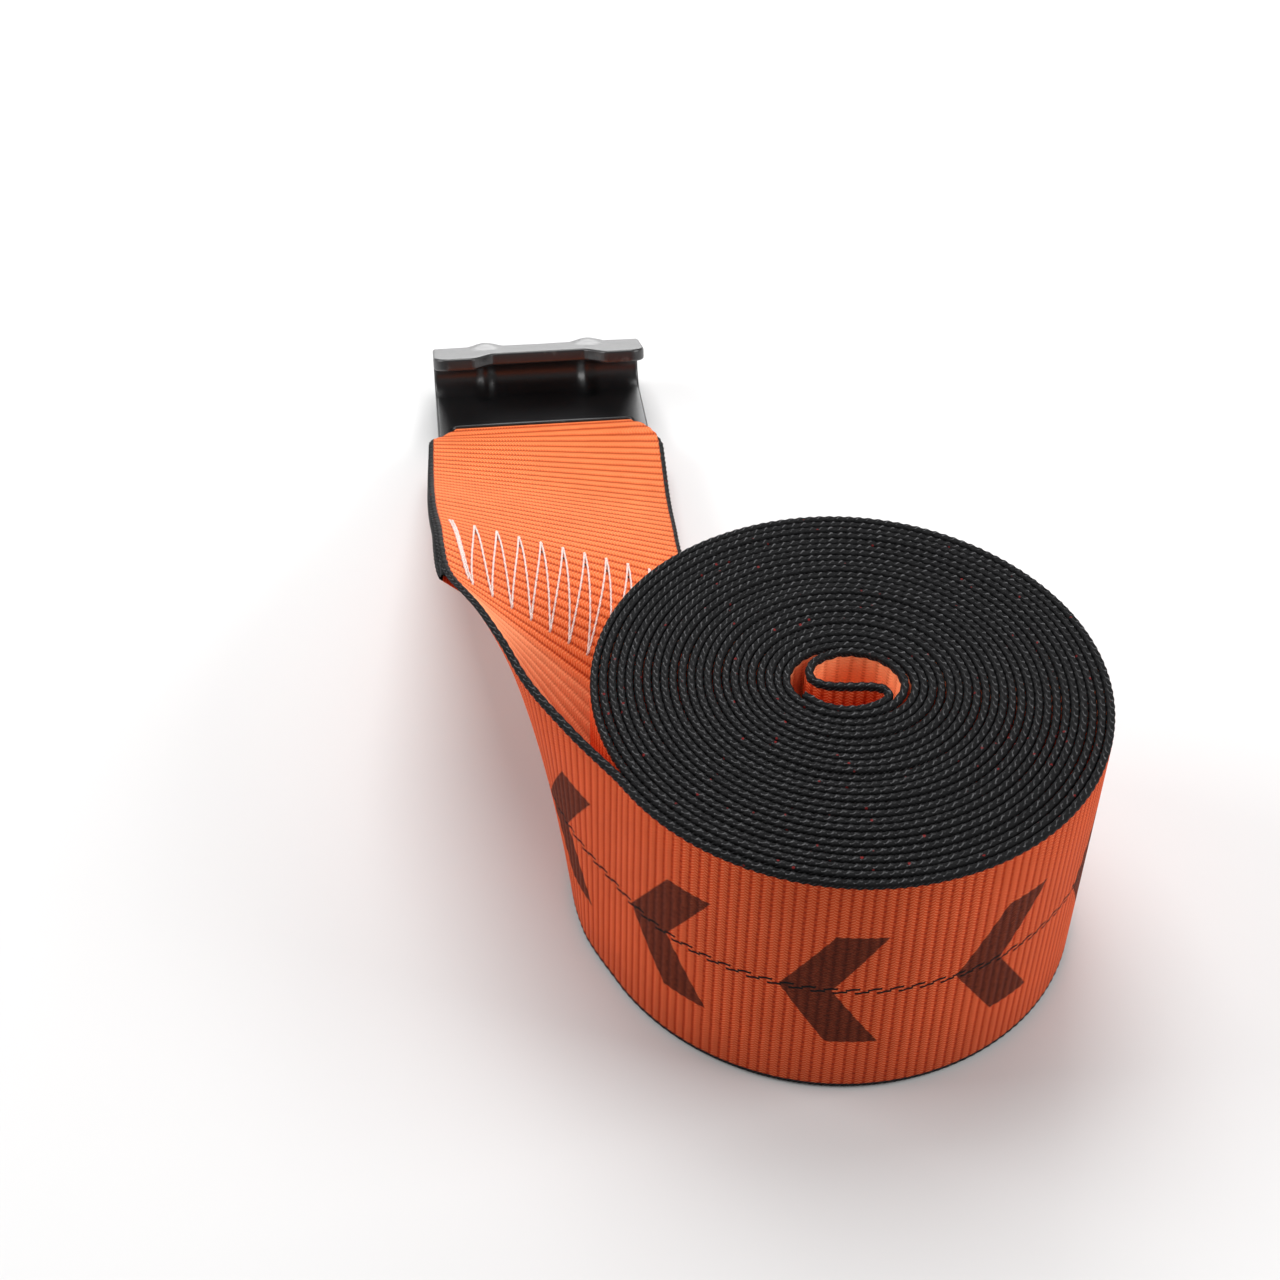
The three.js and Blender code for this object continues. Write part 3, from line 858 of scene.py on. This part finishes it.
    def rings(self, strip: Strip, with_faces: bool) -> tuple[Array, Array]:
        """Places the section along a strip.

        Args:
            strip: The stations.
            with_faces: Whether the faces get points between the selvedges.

        Returns:
            Places and fabric coordinates of the section's points.
        """
        outer_face = self.face_depth(strip.run, self.rib_pitch)
        inner_face = self.face_depth(strip.run, self.inner_pitch)
        upper = self.edge_points(strip, 1)
        lower = self.edge_points(strip, -1)[::-1]
        if with_faces:
            shares = (0.5, 0.0, -0.5)
            inner = [(strip.half * share, inner_face) for share in shares]
            outer = [(-strip.half * share, -outer_face) for share in shares]
            section = upper + inner + lower + outer
        else:
            section = upper + [lower[0], lower[2], lower[4]]
        side = np.stack([np.broadcast_to(point[0], strip.run.shape) for point in section], axis=1)
        depth = np.stack([np.broadcast_to(point[1], strip.run.shape) for point in section], axis=1)
        places = (
            strip.centre[:, None]
            + strip.across[:, None] * side[..., None]
            + strip.normal[:, None] * depth[..., None]
        )
        run = np.broadcast_to(strip.run[:, None], side.shape)
        return places, np.stack([run, side, depth], axis=2)

    def build(self) -> bpy.types.Object:
        """Returns:
            The piece.
        """
        inner, outer = self.route()
        tubes = [
            wrapped_grid("roll_turns", *self.rings(inner, with_faces=False)),
            wrapped_grid("outer_turn", *self.rings(outer, with_faces=True)),
        ]
        mesh = close_tube(tubes, "webbing")
        tail_end = float(outer.run[-1]) - self.fold_back_length - math.pi * self.tail.loop_radius
        finish = WebbingFinish(hole_run=tail_end - Seam(self.tail).start + 0.9)
        piece = make_object("webbing", mesh, finish.build())
        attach(piece, "strap")
        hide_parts("webbing_strap")
        return piece


class Layer(Enum):
    """The side of the sewn layers that a thread runs on."""

    NEEDLE = "needle_thread"
    BOBBIN = "bobbin_thread"


@dataclass
class Seam:
    """A zigzag seam through the tail and its fold-back, with one thread on each side."""

    tail: Tail
    radius: float = 0.37
    start: float = 128.0
    length: float = 56.0
    edge_margin: float = 7.0
    zigzags: int = 10
    stitch: float = 4.6
    sides: int = 8
    step: float = 0.75

    def apexes(self) -> Array:
        """Corners of the zigzag: distance back from the bar, and across."""
        span = self.tail.width / 2 - self.edge_margin
        count = 2 * self.zigzags
        corners = [
            (self.start + (index % 2) * self.length, span * (1 - 2 * index / count))
            for index in range(count + 1)
        ]
        tack_start = [(corners[0][0], corners[0][1] + 1.1), (corners[1][0] - 3.0, corners[1][1] + 1.3)]
        tack_end = [(corners[-2][0] - 3.0, corners[-2][1] - 1.3), (corners[-1][0], corners[-1][1] - 1.1)]
        return np.array([*tack_start, *corners, *tack_end])

    def route(self) -> tuple[Array, Array]:
        """Draws the stitches.

        Returns:
            Points (distance back, across) and how far each stands above the webbing.
        """
        corners = self.apexes()
        flat, lift = [], []
        for first, second in zip(corners[:-1], corners[1:]):
            reach = float(np.linalg.norm(second - first))
            steps = max(int(reach / self.step), 2)
            stitches = max(round(reach / self.stitch), 1)
            share = np.linspace(0.0, 1.0, steps, endpoint=False)
            flat.append(first + (second - first) * share[:, None])
            arch = np.abs(np.sin(math.pi * share * stitches)) ** 0.6
            ends = smoothstep(np.minimum(share, 1 - share) * reach / 1.6)
            lift.append(-0.55 + (0.42 + 0.38 * arch) * ends + 0.2 * ends)
        flat.append(corners[-1:])
        lift.append(np.array([-0.55]))
        return np.vstack(flat), np.concatenate(lift)

    def build(self, layer: Layer, material: bpy.types.Material) -> bpy.types.Object:
        """Builds one thread.

        Args:
            layer: The side it runs on.
            material: Its finish.

        Returns:
            The piece.
        """
        flat, lift = self.route()
        read = self.tail.top_layer if layer is Layer.NEEDLE else self.tail.fold_back
        strip = read(flat[:, 0])
        height = self.tail.thickness / 2 + lift
        line = strip.centre + strip.across * flat[:, 1:] + strip.normal * height[:, None]
        run = run_length(line)
        forward = unit(np.gradient(line, run, axis=0))
        side = unit(np.cross(forward, strip.normal))
        raised = np.cross(side, forward)
        turn = np.linspace(0.0, math.tau, self.sides, endpoint=False)
        plies = 1 + 0.10 * np.cos(3 * turn[None] + run[:, None] * 3.4)
        places = line[:, None] + self.radius * plies[..., None] * (
            side[:, None] * np.cos(turn)[None, :, None] + raised[:, None] * np.sin(turn)[None, :, None]
        )
        shape = plies.shape
        weave = np.stack([
            np.broadcast_to(run[:, None], shape), np.broadcast_to(turn / math.tau, shape), np.zeros(shape),
        ], axis=2)
        name = layer.value.replace("_thread", "_stitches")
        mesh = close_tube([wrapped_grid(name, places, weave)], name)
        piece = make_object(name, mesh, material)
        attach(piece, "strap")
        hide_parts(layer.value)
        log.info("%s: %d faces", name, len(mesh.polygons))
        return piece


@dataclass
class FlatHook:
    """A steel plate with a slot, bent round, with two pressed ribs and a scalloped lip."""

    tail: Tail
    thickness: float = 5.5
    width: float = 93.0
    bar_depth: float = 10.0
    slot_width: float = 80.0
    slot_length: float = 9.0
    slot_corner: float = 2.5
    shank_length: float = 26.0
    bend_radius: float = 9.0
    lip_angle: float = math.radians(18.0)
    lip_length: float = 28.0
    near_corner: float = 5.0
    lip_corner: float = 7.0
    scallop_depth: float = 10.0
    scallop_flat: float = 38.0
    scallop_ramp: float = 11.0
    rib_spacing: float = 46.0
    rib_height: float = 2.0
    rim_round: float = 1.2

    @property
    def shank_end(self) -> float:
        """Distance from the plate's near edge to the start of the bend."""
        return self.bar_depth + self.slot_length + self.shank_length

    @property
    def bend_length(self) -> float:
        """Length of the bend along the plate's middle."""
        return (math.pi - self.lip_angle) * (self.bend_radius + self.thickness / 2)

    @property
    def blank_length(self) -> float:
        """Length of the flat blank."""
        return self.shank_end + self.bend_length + self.lip_length

    def arc(self, centre: tuple[float, float], radius: float, first: float, last: float) -> list[Vector]:
        """Points of a corner, angles in degrees."""
        return [
            Vector((centre[0] + radius * math.cos(angle), centre[1] + radius * math.sin(angle), 0.0))
            for angle in np.radians(np.linspace(first, last, 7))
        ]

    def half_outline(self) -> list[Vector]:
        """Outline of one half of the blank: x along the plate, y across."""
        edge, tip = self.width / 2, self.blank_length
        near, far = self.bar_depth, self.bar_depth + self.slot_length
        half_slot, corner = self.slot_width / 2, self.slot_corner
        ramp_end = self.scallop_flat / 2
        shares = np.linspace(0.0, 1.0, 9)
        ramp = [
            Vector((along, ramp_end + self.scallop_ramp * (1 - share), 0.0))
            for share, along in zip(shares, tip - self.scallop_depth * smoothstep(shares))
        ]
        return [
            Vector((0.0, 0.0, 0.0)),
            *self.arc((self.near_corner, edge - self.near_corner), self.near_corner, 180.0, 90.0),
            *self.arc((tip - self.lip_corner, edge - self.lip_corner), self.lip_corner, 90.0, 0.0),
            *ramp,
            Vector((tip - self.scallop_depth, 0.0, 0.0)),
            Vector((far, 0.0, 0.0)),
            *self.arc((far - corner, half_slot - corner), corner, 0.0, 90.0),
            Vector((near, half_slot, 0.0)),
            Vector((near, 0.0, 0.0)),
        ]

    def blank(self) -> bmesh.types.BMesh:
        """Makes the flat blank with its rims rounded."""
        body = bmesh.new()
        half = body.faces.new([body.verts.new(point) for point in self.half_outline()])
        bmesh.ops.mirror(body, geom=[half, *half.edges, *half.verts], axis="Y", merge_dist=1e-4)
        bmesh.ops.recalc_face_normals(body, faces=body.faces[:])
        raised = bmesh.ops.extrude_face_region(body, geom=body.faces[:], use_keep_orig=True)
        lifted = [item for item in raised["geom"] if isinstance(item, bmesh.types.BMVert)]
        bmesh.ops.translate(body, verts=lifted, vec=(0.0, 0.0, self.thickness))
        bmesh.ops.translate(body, verts=body.verts[:], vec=(0.0, 0.0, -self.thickness / 2))
        bmesh.ops.recalc_face_normals(body, faces=body.faces[:])
        rims = [edge for edge in body.edges if len(edge.link_faces) == 2 and edge.calc_face_angle(0.0) > 1.3
                and abs(edge.verts[0].co.z - edge.verts[1].co.z) < 1e-6]
        bmesh.ops.bevel(
            body, geom=rims, offset=self.rim_round, affect="EDGES", segments=3, profile=0.5, material=-1,
            clamp_overlap=False,
        )
        return body

    def cut_lines(self, body: bmesh.types.BMesh) -> None:
        """Cuts the blank across the bend and along the ribs."""
        bend = np.linspace(self.shank_end, self.shank_end + self.bend_length, 27)
        before = np.arange(self.shank_end - 14.0, self.shank_end, 2.0)
        after = np.arange(bend[-1] + 2.0, bend[-1] + 14.0, 2.0)
        for place in (*before, *bend, *after):
            self.cut(body, (place, 0.0, 0.0), (1.0, 0.0, 0.0))
        for side in (-1, 1):
            for offset in np.linspace(-8.0, 8.0, 13):
                self.cut(body, (0.0, side * self.rib_spacing / 2 + offset, 0.0), (0.0, 1.0, 0.0))

    def cut(self, body: bmesh.types.BMesh, point: Sequence[float], across: Sequence[float]) -> None:
        """Cuts every face on one plane."""
        bmesh.ops.bisect_plane(
            body, geom=[*body.verts, *body.edges, *body.faces], dist=1e-4, plane_co=point, plane_no=across,
        )

    def bend(self, flat: Array) -> Array:
        """Bends the blank and presses its ribs.

        Args:
            flat: Points of the blank: along, across, through.

        Returns:
            The points in roll-axis millimetres.
        """
        along, across, through = flat.T
        middle = self.bend_radius + self.thickness / 2
        inward = through / self.thickness + 0.5
        press = np.zeros(len(flat))
        for side in (-1, 1):
            breadth = 9.6 - 4.6 * inward
            offset = np.clip(np.abs(across - side * self.rib_spacing / 2) / breadth, 0.0, 1.0)
            press += self.rib_height * (0.86 + 0.14 * inward) * (0.5 + 0.5 * np.cos(math.pi * offset))
        end = self.shank_end + self.bend_length
        start = self.shank_end - 6.0 * inward + 15.0 * (1.0 - inward)
        press *= smoothstep((along - start) / 7.0) * smoothstep((end + 11.0 - along) / 9.0)
        through = through - press
        turned = np.clip(along - self.shank_end, 0.0, self.bend_length) / middle
        beyond = np.maximum(along - end, 0.0)
        straight = np.minimum(along, self.shank_end) - self.bar_depth / 2
        out = straight + (middle - through) * np.sin(turned) + beyond * np.cos(turned)
        rise = middle - (middle - through) * np.cos(turned) + beyond * np.sin(turned)
        yaw = self.tail.bar_yaw
        reach = np.array([self.shank_end - self.bar_depth / 2, middle])
        outer = self.bend_radius + self.thickness
        tilt = math.atan2(reach[1], reach[0])
        tilt += math.asin((self.tail.bar[2] - outer) / np.linalg.norm(reach))
        level = math.cos(tilt)
        forward = np.array([-math.sin(yaw) * level, math.cos(yaw) * level, -math.sin(tilt)])
        right = -self.tail.bar_across
        upward = np.cross(right, forward)
        return self.tail.bar + out[:, None] * forward + rise[:, None] * upward + across[:, None] * right

    def build(self) -> bpy.types.Object:
        """Builds the hook.

        Returns:
            The piece.
        """
        body = self.blank()
        self.cut_lines(body)
        flat = np.array([vertex.co for vertex in body.verts])
        rim = (np.abs(flat[:, 2]) < self.thickness / 2 - 1e-3).astype(np.float32)
        for vertex, place in zip(body.verts, to_row(self.bend(flat))):
            vertex.co = place
        bmesh.ops.recalc_face_normals(body, faces=body.faces[:])
        for face in body.faces:
            face.smooth = True
        mesh = bpy.data.meshes.new("hook")
        body.to_mesh(mesh)
        body.free()
        layer = mesh.attributes.new("rim", "FLOAT", "POINT")
        layer.data.foreach_set("value", rim)
        mesh.set_sharp_from_angle(angle=math.radians(50.0))
        piece = make_object("hook", mesh, CoatFinish().build())
        even = piece.modifiers.new("even_shading", "WEIGHTED_NORMAL")
        even.keep_sharp = True
        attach(piece, "hook")
        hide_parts("flat_hook")
        log.info("hook: %d faces", len(mesh.polygons))
        return piece


@dataclass
class Studio:
    """Pale floor, soft lights and the camera."""

    focal_pixels: float = 2099.0
    image_pixels: float = 1280.0
    sensor: float = 36.0
    camera_place: tuple[float, float, float] = (-68.0, -490.0, 574.0)
    pitch: float = math.radians(42.9)
    roll: float = math.radians(0.93)

    def camera(self) -> None:
        """Sets the camera at the photograph's viewing angle."""
        data = bpy.data.cameras.new("camera")
        data.sensor_width = self.sensor
        data.lens = self.focal_pixels / self.image_pixels * self.sensor
        data.clip_start, data.clip_end = 0.01, 50.0
        eye = bpy.data.objects.new("camera", data)
        bpy.context.scene.collection.objects.link(eye)
        level, up = Vector((1.0, 0.0, 0.0)), Vector((0.0, math.sin(self.pitch), math.cos(self.pitch)))
        right = level * math.cos(self.roll) + up * math.sin(self.roll)
        top = up * math.cos(self.roll) - level * math.sin(self.roll)
        eye.matrix_world = Matrix.Translation(to_row(np.array(self.camera_place))) @ Matrix(
            (right, top, right.cross(top))
        ).transposed().to_4x4()
        bpy.context.scene.camera = eye

    def floor(self) -> None:
        """Lays the floor."""
        body = bmesh.new()
        bmesh.ops.create_grid(body, x_segments=1, y_segments=1, size=6.0)
        mesh = bpy.data.meshes.new("floor")
        body.to_mesh(mesh)
        body.free()
        make_object("floor", mesh, FloorFinish().build())

    def lamp(self, name: str, place: Sequence[float], size: float, power: float) -> None:
        """Hangs a square soft light aimed at the strap."""
        data = bpy.data.lights.new(name, "AREA")
        data.shape, data.size, data.energy = "SQUARE", size, power
        lamp = bpy.data.objects.new(name, data)
        lamp.location = place
        lamp.visible_camera = False
        lamp.rotation_euler = (Vector((0.0, 0.0, 0.05)) - Vector(place)).to_track_quat("-Z", "Y").to_euler()
        bpy.context.scene.collection.objects.link(lamp)

    def world(self) -> None:
        """Gives even white surroundings."""
        world = bpy.data.worlds.new("surroundings")
        world.use_nodes = True
        backdrop = world.node_tree.nodes["Background"]
        backdrop.inputs["Color"].default_value = (1.0, 1.0, 1.0, 1.0)
        backdrop.inputs["Strength"].default_value = 0.30
        bpy.context.scene.world = world
        bpy.context.scene.view_settings.view_transform = "Standard"

    def build(self) -> None:
        """Sets everything up."""
        self.camera()
        self.floor()
        self.world()
        self.lamp("left_softbox", (-1.3, 0.05, 0.8), 0.8, 11.0)
        self.lamp("right_softbox", (1.3, -0.2, 0.8), 0.8, 12.0)
        self.lamp("top_softbox", (-0.1, 0.6, 1.4), 1.0, 16.0)
        self.lamp("back_softbox", (-0.1, 2.0, 0.5), 1.2, 22.0)


def main() -> None:
    """Builds the studio and every piece."""
    logging.basicConfig(level=logging.INFO, format="%(name)s: %(message)s")
    Studio().build()
    tail = Tail()
    Webbing(tail).build()
    thread = ThreadFinish().build()
    for layer in Layer:
        Seam(tail).build(layer, thread)
    FlatHook(tail).build()


if __name__ == "__main__":
    main()
